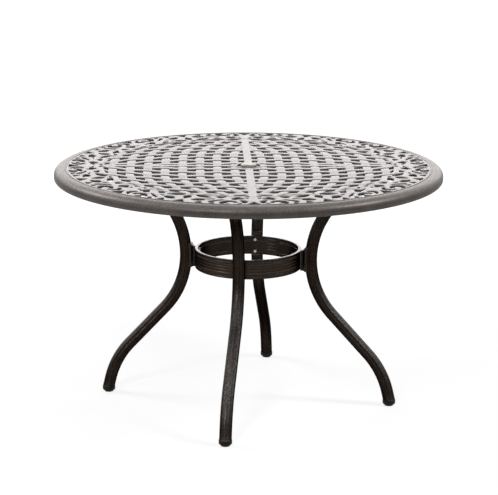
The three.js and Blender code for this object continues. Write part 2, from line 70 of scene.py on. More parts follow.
rim_low, rim_high = extent("cast_rim")
top_low, top_high = extent("cast_top")
leg_low, leg_high = extent("leg_right")
TABLE_RADIUS, TABLE_HEIGHT, RIM_BOTTOM = rim_high[0], rim_high[2], rim_low[2]
PANEL_RADIUS, PANEL_TOP, BOSS_BOTTOM = top_high[0], top_high[2], top_low[2]
PANEL_THICKNESS = 8
PANEL_BOTTOM = PANEL_TOP - PANEL_THICKNESS
RING_LOW, RING_HIGH = (end[2] for end in extent("stretcher_ring"))
RING_MIDDLE = (RING_LOW + RING_HIGH) / 2
LEG_BOTTOM, LEG_TOP, TUBE_RADIUS = leg_low[2], leg_high[2], leg_high[1]
WAIST_PLACE = leg_low[0] + TUBE_RADIUS
GAP = 0.3  # between pieces that would touch
print("table", 2 * TABLE_RADIUS, "mm across and", TABLE_HEIGHT, "mm high")

# %% [markdown]
# ## Camera
# The photograph was taken from a little above the table with a long lens, which keeps the legs
# nearly upright. The view was fitted to the outline of the top, the rim and the feet.

# %% Camera
LENS = 132.97
SENSOR = 36
CAMERA_PLACE = (0.7981, -5.5296, 1.8678)
CAMERA_PITCH = 13.82
CAMERA_ROLL = 0.3
CAMERA_SHIFT = 0.0016

camera_data = bpy.data.cameras.new("camera")
camera_data.lens = LENS
camera_data.sensor_width = SENSOR
camera_data.shift_x = CAMERA_SHIFT
camera = bpy.data.objects.new("camera", camera_data)
bpy.context.scene.collection.objects.link(camera)
bpy.context.scene.camera = camera
heading = math.atan2(CAMERA_PLACE[0], -CAMERA_PLACE[1])
turn = Matrix.Rotation(heading, 4, "Z") @ Matrix.Rotation(math.radians(90 - CAMERA_PITCH), 4, "X")
turn = turn @ Matrix.Rotation(math.radians(CAMERA_ROLL), 4, "Z")
camera.matrix_world = Matrix.Translation(CAMERA_PLACE) @ turn
print("camera heading", round(math.degrees(heading), 2), "degrees")

# %% [markdown]
# ## Tools for materials
# A colour is written the way a colour picker shows it, as sRGB hex, and turned to linear light
# once. One function adds a node, sets it up and links it. The short ones after it each stand
# for a step that every finish needs, such as noise of a real size or a bump of a real depth.

# %% Colour and node helpers
def linear(code):
    """An sRGB hex colour as linear red, green, blue and alpha."""
    parts = [int(code[i:i + 2], 16) / 255 for i in (1, 3, 5)]
    return [c / 12.92 if c <= 0.04045 else ((c + 0.055) / 1.055) ** 2.4 for c in parts] + [1]


def add(tree, kind, sockets=None, out=None, **settings):
    """A node with its settings, and sockets given a value or another node's output.
    The answer is the output named by out, or the node itself."""
    node = tree.nodes.new("ShaderNode" + kind)
    for key, value in settings.items():
        setattr(node, key, value)
    for key, value in (sockets or {}).items():
        socket = node.inputs[key]
        if isinstance(value, bpy.types.NodeSocket):
            tree.links.new(value, socket)
        else:
            socket.default_value = value
    return node if out is None else node.outputs[out]


def new_material(name):
    material = bpy.data.materials.new(name)
    material.use_nodes = True
    material.node_tree.nodes.clear()
    return material, material.node_tree


def principled(tree, sockets):
    """The shader of a finish, linked to the material's output."""
    shader = add(tree, "BsdfPrincipled", sockets, "BSDF")
    add(tree, "OutputMaterial", {"Surface": shader})


def per_mm(size):
    """The texture scale, in repeats per metre, that gives a feature of this size in millimetres."""
    return 1 / (size * MM)


def noise(tree, size, detail):
    """Noise with features of a size in millimetres, fixed to the piece."""
    place = add(tree, "TexCoord", out="Object")
    return add(tree, "TexNoise", {"Vector": place, "Scale": per_mm(size), "Detail": detail}, "Fac")


def ramp(tree, value, stops):
    """A colour ramp over a value, from stops of place and grey or colour."""
    node = add(tree, "ValToRGB", {"Fac": value})
    elements = node.color_ramp.elements
    while len(elements) < len(stops):
        elements.new(0.5)
    for element, (place, colour) in zip(elements, stops):
        element.position = place
        element.color = linear(colour) if isinstance(colour, str) else [colour] * 3 + [1]
    return node.outputs["Color"]


def ranged(tree, value, start, end, low=0, high=1):
    """A value's way from start to end, carried over to the way from low to high."""
    limits = {"From Min": start, "From Max": end, "To Min": low, "To Max": high}
    return add(tree, "MapRange", {"Value": value, **limits}, "Result")


def combined(tree, operation, first, second):
    return add(tree, "Math", {0: first, 1: second}, 0, operation=operation)


def blended(tree, share, first, second):
    """A share of the way from one colour to another."""
    return add(tree, "Mix", {"Factor": share, "A": first, "B": second}, "Result", data_type="RGBA")


def bumped(tree, height, strength, depth, **under):
    """Normals bent by a height, for a relief of so many millimetres."""
    relief = {"Strength": strength, "Distance": depth * MM, "Height": height}
    return add(tree, "Bump", {**relief, **under}, "Normal")


# %% [markdown]
# ## Finish: powder coat on cast aluminium
# The casting is blasted, sprayed with bronze polyester powder and baked. The powder flows into a
# skin with a shallow hammered dimple every few millimetres and fine mica that sparkles, and it
# thins over edges, which look paler. On the rim and the frame, faces that look up are painted
# paler in broken streaks, a painted highlight that stands for the light from above.
#
# One function makes the four coats. The top's acts like a clear varnish: at a low angle it
# mirrors the bright room and looks almost white. The frame's acts like dark metal with a dark
# tint at grazing angles, because a varnish would turn the legs grey in a white room. That tint
# fades to white on faces that look up, a painted highlight, so the ring's upper edge still shines.
# The rim lies between the two. The plug's coat is paler and greyer than the top's: a paler copy
# of the coat that paints the light falling on the plug's wall.

# %% Powder coat
CLOUD, FLAKE, STREAK = 60, 1.4, 4.5  # millimetres
GRAIN_DEPTH = 0.05


def powder_coat(name, dark, mica, worn, flakes=0.35, dimple=3.5, depth=0.25, roughness=0.33,
                specular=0.5, metallic=0.25, grazing="#ffffff", painted_sheen=0.0):
    """A dimpled coat in two dark shades. Flakes is the share of mica; the last share paints a
    highlight on faces that look up.
    """
    material, tree = new_material(name)
    place = add(tree, "TexCoord", out="Object")
    shape = add(tree, "NewGeometry")
    cells = add(tree, "TexVoronoi", {"Vector": place, "Scale": per_mm(dimple), "Smoothness": 0.6},
                "Distance", feature="SMOOTH_F1")
    flake = noise(tree, FLAKE, 3)
    base = ramp(tree, noise(tree, CLOUD, 4), [(0.3, dark[0]), (0.7, dark[1])])
    fleck = ramp(tree, flake, [(0.52, 0.0), (0.72, 1.0)])
    sparkle = blended(tree, fleck, base, linear(mica))
    edge = ramp(tree, shape.outputs["Pointiness"], [(0.51, 0.0), (0.62, 1.0)])
    rubbed = blended(tree, edge, blended(tree, flakes, base, sparkle), linear(worn))
    # Painted highlight: faces that look up are blended toward the pale mica colour in broken
    # streaks, and their grazing tint turns white.
    upward = add(tree, "SeparateXYZ", {"Vector": shape.outputs["Normal"]}, "Z")
    facing = ranged(tree, upward, 0.15, 0.8)
    broken = ramp(tree, noise(tree, STREAK, 3), [(0.35, 0.2), (0.65, 0.9)])
    upward_highlight = combined(tree, "MULTIPLY", combined(tree, "MULTIPLY", facing, broken), painted_sheen)
    hammered = bumped(tree, cells, 0.6, depth)
    principled(tree, {
        "Base Color": blended(tree, upward_highlight, rubbed, linear(mica)),
        "Roughness": ranged(tree, flake, 0.3, 0.7, roughness - 0.06, roughness + 0.08),
        "Normal": bumped(tree, flake, 0.3, GRAIN_DEPTH, Normal=hammered),
        "Metallic": metallic, "Specular IOR Level": specular,
        "Specular Tint": blended(tree, facing, linear(grazing), linear("#ffffff")),
    })
    return material


top_coat = powder_coat("powder_coat_top", ("#2b2725", "#393432"), "#8e8885", "#635c58")
# On the rim and the frame the last share paints a highlight on faces that look up.
rim_coat = powder_coat("powder_coat_rim", ("#3e3835", "#4e4844"), "#a8a29e", "#a8a29e", depth=0.45,
                       roughness=0.42, specular=0.25, metallic=0.35, grazing="#909090", painted_sheen=0.27)
frame_coat = powder_coat("powder_coat_frame", ("#120b07", "#1d150f"), "#979391", "#54483d",
                         flakes=0.16, dimple=4.5, depth=0.5, roughness=0.26, specular=0.1,
                         metallic=0.95, grazing="#606060", painted_sheen=0.55)
# Painted light: a paler copy of the coat, which paints the light on the plug's wall.
plug_coat_painted_pale = powder_coat("powder_coat_plug_painted_pale", ("#6a655a", "#7b766a"), "#aaa496", "#b5b0a4",
                        roughness=0.36)
print("powder coats:", top_coat.name, rim_coat.name, frame_coat.name, plug_coat_painted_pale.name)

# %% [markdown]
# ## Finish: zinc plate and moulded polyethylene
# The fasteners are zinc-plated steel, a pale metal with fine turning marks. The caps and glides
# are black polyethylene, which is waxy, with the faint grain of its mould and wider scuffs.

# %% Zinc plate and polyethylene
MARK, MOULD_GRAIN, SCUFF = 0.8, 0.7, 9  # millimetres

zinc, tree = new_material("zinc_plated_steel")
marks = noise(tree, MARK, 4)
principled(tree, {
    "Base Color": ramp(tree, marks, [(0.3, "#aeb1b4"), (0.7, "#d6d8da")]), "Metallic": 1.0,
    "Roughness": ranged(tree, marks, 0, 1, 0.18, 0.4), "Normal": bumped(tree, marks, 0.2, 0.03),
})

plastic, tree = new_material("moulded_polyethylene")
scuffs = noise(tree, SCUFF, 5)
principled(tree, {
    "Base Color": ramp(tree, scuffs, [(0.4, "#080808"), (0.7, "#151413")]),
    "Roughness": ranged(tree, scuffs, 0, 1, 0.32, 0.6), "IOR": 1.51, "Specular IOR Level": 0.15,
    "Normal": bumped(tree, noise(tree, MOULD_GRAIN, 2), 0.25, GRAIN_DEPTH),
})
print("finishes:", zinc.name, plastic.name)

# %% [markdown]
# ## Tools for shapes
# Nearly everything on this table is turned, swept or lofted, so a few functions that return
# points and faces are enough. Edges sharper than a limit stay sharp and the rest is shaded
# smooth. What stands at all four legs is made once, at the right leg, and turned to the others.

# %% Mesh helpers
SHARP = math.radians(38)
WELD_DISTANCE = 0.002 * MM


def shaped(name, parts, finish, node, body="table"):
    """One piece of the table from lists of points and faces, standing for its node."""
    built = bmesh.new()
    for points, faces in parts:
        corners = [built.verts.new(p) for p in (np.asarray(points, float) * MM).tolist()]
        for face in faces:
            if len(set(face)) > 2:
                built.faces.new([corners[i] for i in face])
    bmesh.ops.remove_doubles(built, verts=built.verts, dist=WELD_DISTANCE)
    bmesh.ops.dissolve_degenerate(built, edges=built.edges, dist=WELD_DISTANCE)
    bmesh.ops.recalc_face_normals(built, faces=built.faces)
    for face in built.faces:
        face.smooth = True
    for edge in built.edges:
        edge.smooth = edge.calc_face_angle(0) < SHARP
    mesh = bpy.data.meshes.new(name)
    built.to_mesh(mesh)
    built.free()
    mesh.materials.append(finish)
    made = bpy.data.objects.new(name, mesh)
    bpy.context.scene.collection.objects.link(made)
    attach(made, body)
    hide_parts(node)
    return made


def spun(points, degrees):
    """Points in plan or in space, turned about the table's axis."""
    points = np.asarray(points, float)
    a = math.radians(degrees)
    c, s = math.cos(a), math.sin(a)
    x, y = points[:, 0], points[:, 1]
    return np.c_[x * c - y * s, x * s + y * c, points[:, 2:]]


def at_legs(name, parts, finish, node, body="table"):
    """The same piece at every leg, a quarter turn apart. In the names {} stands for the leg."""
    for k, place in enumerate(PLACES):
        turned_parts = [(spun(points, 90 * k), faces) for points, faces in parts]
        shaped(name.format(place), turned_parts, finish, node.format(place),
               body.format(place))


# %% Profiles, turned and lofted forms
def quarter(centre, wide, tall, start, end, steps):
    """Points along an ellipse, from one angle to another."""
    angles = np.radians(np.linspace(start, end, steps + 1))
    return [(centre[0] + wide * math.cos(a), centre[1] + tall * math.sin(a)) for a in angles]


def eased(radius, height, size, start, steps=4):
    """A quarter round in the place of a profile's corner, beginning at an angle."""
    way, out = math.radians(start + 45), size * math.sqrt(2)
    centre = (radius - out * math.cos(way), height - out * math.sin(way))
    return quarter(centre, size, size, start, start + 90, steps)


def rectangle(low, high, corner, shrink=0, steps=6):
    """A rectangle with rounded corners, drawn in on every side."""
    (x0, y0), (x1, y1) = np.add(low[:2], corner), np.subtract(high[:2], corner)
    size, made = corner - shrink, []
    for k, centre in enumerate(((x1, y1), (x0, y1), (x0, y0), (x1, y0))):
        made += quarter(centre, size, size, 90 * k, 90 * k + 90, steps)
    return made


def bands(rows, columns, closed=True):
    """Faces between rows of points, with each row closed on itself."""
    faces = []
    for i in range(rows if closed else rows - 1):
        for j in range(columns):
            a, b = i * columns + j, i * columns + (j + 1) % columns
            c, d = (i + 1) % rows * columns + (j + 1) % columns, (i + 1) % rows * columns + j
            faces.append((a, b, c, d))
    return faces


def turned(profile, steps, centre=(0, 0), sides=()):
    """A closed profile of radius and height, turned about an upright axis.
    Rows whose number is in sides are hexagons with that radius across their flats."""
    angles = np.arange(steps) * 2 * np.pi / steps
    rows = []
    for i, (radius, height) in enumerate(profile):
        reach = np.full(steps, float(radius))
        if i in sides:
            reach = reach / np.cos((angles + np.pi / 6) % (np.pi / 3) - np.pi / 6)
        rows.append(np.c_[centre[0] + reach * np.cos(angles), centre[1] + reach * np.sin(angles),
                          np.full(steps, float(height))])
    return np.concatenate(rows), bands(len(profile), steps)


def lofted(outlines):
    """A closed form through a stack of outlines, each given with its height."""
    rows = [np.c_[np.asarray(plan, float), np.full(len(plan), float(z))] for plan, z in outlines]
    count = len(rows[0])
    faces = bands(len(rows), count, closed=False)
    faces += [tuple(range(count))[::-1], tuple(range(count * (len(rows) - 1), count * len(rows)))]
    return np.concatenate(rows), faces


print("shape helpers ready")

# %% [markdown]
# ## Rim
# The rim is a bullnose: a thin bead next to the openwork, a long crown that falls away, and a
# small rolled edge underneath. It is turned from one section, with enough steps to look round.

# %% Rim
RIM_STEPS = 240
BEAD_WIDTH = 6
BEAD_FOOT = 0.6
RIM_WALL = 5
CROWN_HEIGHT = 22
CROWN_FULLNESS = 0.85
HEM_RADIUS = 6
LEDGE = 4
seat = PANEL_RADIUS + GAP
bead_end = PANEL_RADIUS + BEAD_WIDTH


def crown_line(wide, tall, start, end, steps):
    """The rim's crown in section: a little fuller at the shoulder than part of an ellipse."""
    ways = [(max(0, x) ** CROWN_FULLNESS, max(0, z) ** CROWN_FULLNESS)
            for x, z in quarter((0, 0), 1, 1, start, end, steps)]
    return [(bead_end + wide * x, PANEL_TOP - CROWN_HEIGHT + tall * z) for x, z in ways]


bead = quarter((PANEL_RADIUS + BEAD_WIDTH / 2, PANEL_TOP - BEAD_FOOT), BEAD_WIDTH / 2 - GAP,
               TABLE_HEIGHT - PANEL_TOP + BEAD_FOOT, 180, 8, 8)
hem = (TABLE_RADIUS - HEM_RADIUS, RIM_BOTTOM + HEM_RADIUS)
rim_inside = TABLE_RADIUS - RIM_WALL
ledge_top = PANEL_BOTTOM - GAP
rim_profile = [
    (seat, PANEL_TOP - 2 * BEAD_FOOT), *bead,
    *crown_line(TABLE_RADIUS - bead_end, CROWN_HEIGHT, 86, 0, 16),
    *quarter(hem, HEM_RADIUS, HEM_RADIUS, -10, -90, 5),
    (hem[0] - 4, RIM_BOTTOM), (rim_inside - 0.6, RIM_BOTTOM + 1.5), (rim_inside, hem[1]),
    *crown_line(rim_inside - bead_end, CROWN_HEIGHT - RIM_WALL, 0, 90, 8),
    (bead_end, ledge_top - LEDGE), (seat - LEDGE, ledge_top - LEDGE), (seat - LEDGE, ledge_top),
    (seat, ledge_top),
]
rim = shaped("rim_casting", [turned(rim_profile, RIM_STEPS)], rim_coat, "cast_rim")
print("rim:", len(rim.data.polygons), "faces")

# %% [markdown]
# ## Openings of the top
# The top is one casting with 464 openings and a recess. In the field they are the gaps of a
# basket weave, whose strands run straight near the middle and bend towards four plain seams. In
# the border they are the gaps between scrolls. Each opening is an outline in plan, in the
# pattern's own frame. Half a repeat of the border is enough, because it is mirrored.

# %% Outlines of the weave
PATTERN_TURN = 9.9  # degrees from the frame to the pattern
PITCH = 53.5
OPENING = 27
FIRST = 16.5
STRAIGHT = 135
BEND_RADIUS = 560
SEAM = 24
FIELD = 448
LEAST = 6  # the narrowest opening, and the least metal it leaves at the hub and the border
HOLE_RADIUS = 21
RECESS_RADIUS = 35.25
HUB_RADIUS = 40


def bend(t):
    return np.maximum(0, np.asarray(t, float) - STRAIGHT) ** 2 / (2 * BEND_RADIUS)


def softened(points, share, steps):
    """A closed outline whose corners are cut to smooth curves, by a share of each side."""
    points = np.asarray(points, float)
    before = points + (np.roll(points, 1, 0) - points) * share
    after = points + (np.roll(points, -1, 0) - points) * share
    ways = np.linspace(0, 1, steps + 1)[:, None, None]
    curve = (1 - ways) ** 2 * before + 2 * ways * (1 - ways) * points + ways ** 2 * after
    flat = curve.transpose(1, 0, 2).reshape(-1, 2)
    gaps = np.linalg.norm(flat - np.roll(flat, 1, 0), axis=1)
    return flat[gaps > 0.25]


def weave_opening(u, v):
    """One gap of the weave in the first quarter, or None where a seam or the hub covers it."""
    half, edge = OPENING / 2, SEAM / 2
    cu, cv = u + np.array([-half, half, half, -half]), v + np.array([-half, -half, half, half])
    x, y = np.maximum(edge, cu - bend(cv)), np.maximum(edge, cv - bend(cu))
    wide, tall = min(x[1] - x[0], x[2] - x[3]), min(y[3] - y[0], y[2] - y[1])
    reach = math.hypot(x[0], y[0])
    if min(wide, tall) < LEAST or not HUB_RADIUS + LEAST <= reach <= FIELD - LEAST:
        return None
    trim = np.minimum(1, FIELD / np.hypot(x, y))
    return softened(np.c_[x * trim, y * trim], 0.17, 3)


cells = [FIRST + PITCH * i for i in range(11)]
quarter_field = [o for u in cells for v in cells if (o := weave_opening(u, v)) is not None]
print("weave openings in a quarter:", len(quarter_field))

# %% Outlines of the border
# Outlines on half a repeat, as degrees from the volutes' axis and millimetres of radius
SCROLLS = {
    "crescent": [(4.2, 507), (3.2, 508.5), (2.2, 516), (1.8, 524), (2, 532), (2.7, 541), (3.7, 548),
        (4.9, 553), (4.6, 547), (3.9, 541), (3.55, 533), (3.5, 526), (3.8, 519), (4.4, 513)],
    "volute slot": [(5.5, 540), (5, 536), (5.05, 530), (5.5, 523), (6.3, 517), (7.5, 513.5),
        (8.7, 515), (9.6, 520), (10.2, 528), (10.5, 537), (10.4, 545), (10, 551), (9.4, 556),
        (7.3, 556), (8, 548), (8.4, 542), (8.3, 536), (8, 531.5), (7.3, 528), (6.5, 529.5),
        (6.1, 533), (6, 538.5)],
    "thin crescent": [(9.6, 503.5), (10.6, 504.5), (11.5, 510), (12.5, 516), (13.5, 524),
        (14.1, 532), (13.9, 537), (13.3, 539.5), (12.8, 536), (12.2, 528.5), (11.6, 521),
        (10.8, 514), (9.9, 508)],
    "five sides": [(15, 507), (16, 504.5), (17.8, 503), (18.6, 506), (19.2, 515), (19.8, 523),
        (19.4, 529), (18.5, 530.5), (17, 527.5), (16, 521.5), (15.3, 513.5)],
    "tail": [(12.9, 496), (14.2, 499), (15.3, 504.5), (15, 507), (14, 503.5), (13, 499)],
    "small fan": [(16.4, 533), (16.9, 541), (17.6, 551), (17.4, 553.5), (15.5, 553.5), (15.4, 552),
        (16, 542)],
    "large leaf": [(20.2, 455.5), (20.4, 462), (20, 470), (19, 477), (17.8, 481.5), (15.9, 483),
        (14.2, 482.5), (15.2, 475), (15.9, 468), (17, 462), (18.2, 458), (19.2, 455.5)],
    "bud": [(9.4, 465), (10.4, 465.5), (12, 465), (12.8, 473), (12.3, 479), (11.2, 483),
        (10.5, 480), (10, 472)],
    "kite": [(5.4, 468), (6.4, 474), (7, 482), (7.5, 489), (6.9, 495), (6.3, 501), (5.8, 497),
        (5.1, 492.5), (4, 491.5), (2.9, 487), (3.2, 483), (4, 479), (4.6, 472.5)],
    "dot": [(1.6, 477.5), (2.6, 477.5), (2.7, 483.5), (1.7, 483.5)],
    "sliver": [(1, 451), (2.1, 452), (3, 457), (2.6, 462), (1.7, 461), (1.2, 456)],
    "drop": [(12.3, 540), (12.9, 544), (13.3, 552), (12.6, 555), (11.8, 553), (11.9, 546)],
}
# Outlines across the axis, and across the line between two repeats
MIDDLES = [
    [(0, 525), (0.6, 534), (1.3, 545), (2.1, 556), (-2.1, 556), (-1.3, 545), (-0.6, 534)],
    [(22.5, 471), (23.2, 477), (23.8, 484), (23.9, 491), (23.5, 500), (22.9, 508), (22.5, 514),
        (22.1, 508), (21.5, 500), (21.1, 491), (21.2, 484), (21.8, 477)],
    [(22.5, 526), (23.2, 538), (23.8, 548), (24.4, 556), (20.6, 556), (21.2, 548), (21.8, 538)],
    [(22.5, 446.5), (23.7, 453), (22.5, 459.5), (21.3, 453)],
]


def on_border(outline):
    """An outline given by angle and radius, in plan and with its corners eased."""
    angle, radius = np.array(outline, float).T
    angle = np.radians(angle)
    return softened(np.c_[radius * np.cos(angle), radius * np.sin(angle)], 0.3, 2)


paired = [on_border(outline) for outline in SCROLLS.values()]
mirrored = [(p * (1, -1))[::-1] for p in paired]
repeat = [*paired, *mirrored, *[on_border(outline) for outline in MIDDLES]]
print("border openings in a repeat:", len(repeat))

# %% All openings, turned to their places
LONGEST_SIDE = 9.5


def circle(radius, count):
    ways = np.linspace(0, 2 * np.pi, count + 1)[:-1]
    return np.c_[np.cos(ways), np.sin(ways)] * radius


def anticlockwise(points):
    x, y = points.T
    return points if (x * np.roll(y, -1) - np.roll(x, -1) * y).sum() > 0 else points[::-1]


def split(points, most):
    """The outline with every side longer than most cut into equal pieces."""
    made = []
    for start, end in zip(points, np.roll(points, -1, 0)):
        pieces = max(1, math.ceil(np.linalg.norm(end - start) / most))
        made += [start + (end - start) * k / pieces for k in range(pieces)]
    return np.array(made)


openings = [spun(p, 90 * k) for k in range(4) for p in quarter_field]
openings += [spun(p, 45 * k) for k in range(8) for p in repeat]
openings.append(circle(RECESS_RADIUS, 48))
openings = [split(anticlockwise(p), LONGEST_SIDE) for p in openings]
print("openings:", len(openings), "with", sum(map(len, openings)), "points")

# %% [markdown]
# ## Relief of the top
# A flat sheet with holes would look like paper. On the real casting each strand is crowned and
# dips under the next one, so the weave shows a fine shadow wherever a strand ends, and the
# scrolls are rounded bars. One function gives the height of the surface at any point, and the
# mesh takes more points where that height changes quickly.

# %% Height of the surface
DIP = 1.8
CROWN = 0.8
STRAND_HALF = (PITCH - OPENING) / 2
STRAND_MIDDLE = FIRST + PITCH / 2
SIDE = 0.1  # points on the side of a strand or seam still count as on it
GAP_DEPTH = 0.4  # from the lowest strand to the level between strands
FIELD_END = 452
BLEND_START, BLEND = 6, 8  # from the field's height to the border's
BAND_MIDDLE = 455
BAND_HALF = 8
BAND_CROWN = 0.9
SCROLL_RISE = 0.3
SCROLL_DROP = 1.2
SCROLL_SHOULDER = 7
SEAM_CROWN = 0.7
HUB_RISE = 0.4
HUB_EDGE = 3


def unbent(x, y):
    """Where a point of the first quarter lies on the straight weave, found by repeating."""
    u, v = x.copy(), y.copy()
    for _ in range(12):
        u, v = x + bend(v), y + bend(u)
    return u, v


def strand_height(run, index_run, off):
    """Height of a strand: over at even crossings, under at odd ones, and crowned across."""
    wave = np.cos(np.pi * run / PITCH) * np.where(index_run % 2 == 0, 1, -1)
    return -DIP / 2 + DIP / 2 * wave - CROWN * (off / STRAND_HALF) ** 2


def weave_relief(x, y):
    x, y = np.abs(x), np.abs(y)
    u, v = unbent(x, y)
    i, j = np.round((u - STRAND_MIDDLE) / PITCH), np.round((v - STRAND_MIDDLE) / PITCH)
    du, dv = u - STRAND_MIDDLE - i * PITCH, v - STRAND_MIDDLE - j * PITCH
    lengthwise = strand_height(du, i + j, dv)
    crosswise = strand_height(dv, i + j + 1, du)
    on_length, on_cross = np.abs(dv) <= STRAND_HALF + SIDE, np.abs(du) <= STRAND_HALF + SIDE
    both = np.where((i + j) % 2 == 0, lengthwise, crosswise)
    height = np.where(on_length & on_cross, both, np.where(on_length, lengthwise, crosswise))
    height = np.where(on_length | on_cross, height, -DIP - GAP_DEPTH)
    across = np.minimum(x, y)
    on_seam = across <= SEAM / 2 + SIDE
    return np.where(on_seam, -SEAM_CROWN * (across / (SEAM / 2)) ** 2, height)


def relief(points, near):
    """Height above the panel's top face, for points with their distance to an opening."""
    x, y = points.T
    radius = np.hypot(x, y)
    drop = SCROLL_DROP * (1 - np.clip(near / SCROLL_SHOULDER, 0, 1)) ** 2
    band = BAND_CROWN * np.clip(1 - ((radius - BAND_MIDDLE) / BAND_HALF) ** 2, 0, 1)
    scroll = SCROLL_RISE + band - drop
    edge = np.clip((radius - FIELD_END + BLEND_START) / BLEND, 0, 1)
    height = weave_relief(x, y) * (1 - edge) + scroll * edge
    fall = np.clip((radius - HUB_RADIUS) / HUB_EDGE, 0, 1)
    return np.where(radius < HUB_RADIUS + HUB_EDGE, HUB_RISE - 2 * HUB_RISE * fall, height)


middle = np.array([STRAND_MIDDLE])
print("relief at the middle of a strand:", weave_relief(middle, middle))

# %% [markdown]
# ## Mesh of the top
# The upper face is a triangle mesh through three kinds of points: rings that round the lip of
# every opening, lines across the strands, and a ring pattern in the border. A constrained
# triangulation joins them, and the triangles that lie in an opening are left out.

# %% Points on the strands, the seams and the border
BESIDE = 0.9  # from the side of a strand or seam to the next line of points
ALONG_SEAM = 7
BORDER_ROW, BORDER_STEP = 4.6, 5.2

# Places across one pitch of the weave: on the strand, at its sides and in the gap
half = PITCH / 2
on_pitch = np.array(sorted([-STRAND_HALF, -8.5, -4.2, 0, 4.2, 8.5, STRAND_HALF, half,
                            -STRAND_HALF - BESIDE, STRAND_HALF + BESIDE, half - 7, half + 7]))
lines = np.concatenate([STRAND_MIDDLE + PITCH * k + on_pitch for k in range(-1, 11)])
grid_u, grid_v = (g.ravel() for g in np.meshgrid(lines, lines))
field_points = np.c_[grid_u - bend(grid_v), grid_v - bend(grid_u)]
reach = np.hypot(*field_points.T)
inside = (field_points > SEAM / 2 + 2).all(1) & (reach < FIELD_END) & (reach > HUB_RADIUS + 5)

half = SEAM / 2
over_seam = [half * share for share in (-1, -0.75, -0.375, 0, 0.375, 0.75, 1)]
along, across = np.meshgrid(np.arange(HUB_RADIUS + 7, FIELD_END, ALONG_SEAM),
                            [*over_seam, -half - BESIDE, half + BESIDE])
seam_points = np.c_[along.ravel(), across.ravel()]

border_points = []
for row, radius in enumerate(np.arange(FIELD_END + 3, PANEL_RADIUS - 2, BORDER_ROW)):
    count = 8 * int(2 * np.pi * radius / 8 / BORDER_STEP)
    a = (np.arange(count) + row % 2 / 2) * 2 * np.pi / count
    border_points.append(np.c_[np.cos(a), np.sin(a)] * radius)
hub_points = [circle(HUB_RADIUS + off, 48) for off in (0, 2, 4)]
around = [spun(p, 90 * k) for p in (field_points[inside], seam_points) for k in range(4)]
samples = np.concatenate([*around, *border_points, *hub_points])
print("sample points:", len(samples))

# %% Keep the points that are clear of the openings
CLEAR = 2.3
TOO_CLOSE = 0.6
MEASURED_EVERY = 1.2  # along the outlines


def inside_outline(points, outline):
    """Which points lie inside a closed outline, by counting the sides to their right."""
    x, y = points[:, 0:1], points[:, 1:2]
    (ax, ay), (bx, by) = outline.T, np.roll(outline, -1, 0).T
    crosses = (ay > y) != (by > y)
    with np.errstate(divide="ignore", invalid="ignore"):
        at = ax + (y - ay) * (bx - ax) / (by - ay)
    return (crosses & (x < at)).sum(1) % 2 == 1


def tree_of(points):
    """A tree that finds the neighbours of a place among many points in plan."""
    tree = kdtree.KDTree(len(points))
    for i, (x, y) in enumerate(points):
        tree.insert((x, y, 0), i)
    tree.balance()
    return tree


outline_tree = tree_of(np.concatenate([split(p, MEASURED_EVERY) for p in openings]))


def distance_to_opening(points):
    return np.array([outline_tree.find((x, y, 0))[2] for x, y in points])


samples = samples[distance_to_opening(samples) > CLEAR]
kept = np.ones(len(samples), bool)
for outline in openings:
    close = np.flatnonzero(((samples > outline.min(0)) & (samples < outline.max(0))).all(1))
    kept[close[inside_outline(samples[close], outline)]] = False
samples = samples[kept]
sample_tree = tree_of(samples)
crowded = {max(i, j) for i, (x, y) in enumerate(samples)
           for _, j, _ in sample_tree.find_range((x, y, 0), TOO_CLOSE) if i != j}
samples = samples[[i not in crowded for i in range(len(samples))]]
print("points kept:", len(samples))


# %% Triangulate a face with openings
LIP = 1.5
RECESS_LIP = 3
LOWER_LIP = 0.7
edge_circle = circle(PANEL_RADIUS, 288)


def offset(points, distance):
    """An opening's outline moved away from it."""
    along = np.roll(points, -1, 0) - np.roll(points, 1, 0)
    normal = np.c_[along[:, 1], -along[:, 0]] / np.linalg.norm(along, axis=1)[:, None]
    return points + normal * distance


def triangulated(loops, extra):
    """Triangles between closed loops. The first loop is the outer edge, the rest are openings."""
    points = np.concatenate([*loops, extra])
    owner = np.repeat([*range(len(loops)), -1], [*map(len, loops), len(extra)])
    edges, start = [], 0
    for loop in loops:
        count = len(loop)
        edges += [(start + k, start + (k + 1) % count) for k in range(count)]
        start += count
    found = delaunay_2d_cdt([Vector(p) for p in points], edges, [], 0, 1e-5)
    new_of = np.arange(len(points))
    for new, olds in enumerate(found[3]):
        new_of[list(olds)] = new
    places = np.array([tuple(p) for p in found[0]])
    old_of = np.full(len(places), -1)
    old_of[new_of] = np.arange(len(points))
    triangles = np.array(found[2])
    owners = np.where(old_of >= 0, owner[old_of], -1)[triangles]
    alike = (owners == owners[:, :1]).all(1)
    middles = places[triangles].mean(1)
    keep = np.ones(len(triangles), bool)
    for i in range(1, len(loops)):
        mine = np.flatnonzero(alike & (owners[:, 0] == i))
        keep[mine[inside_outline(middles[mine], loops[i])]] = False
    return places, triangles[keep], new_of


lips = [LIP] * (len(openings) - 1) + [RECESS_LIP]
upper_loops = [edge_circle, *[offset(p, lip) for p, lip in zip(openings, lips)]]
lower_loops = [edge_circle, *[offset(p, LOWER_LIP) for p in openings]]
upper = triangulated(upper_loops, samples)
lower = triangulated(lower_loops, np.empty((0, 2)))
print("triangles: upper", len(upper[1]), "lower", len(lower[1]))

# %% Join the upper face, the lips, the walls and the lower face
LIP_SHARE = 0.3  # the lip is cut by two slopes, the first so far in and down

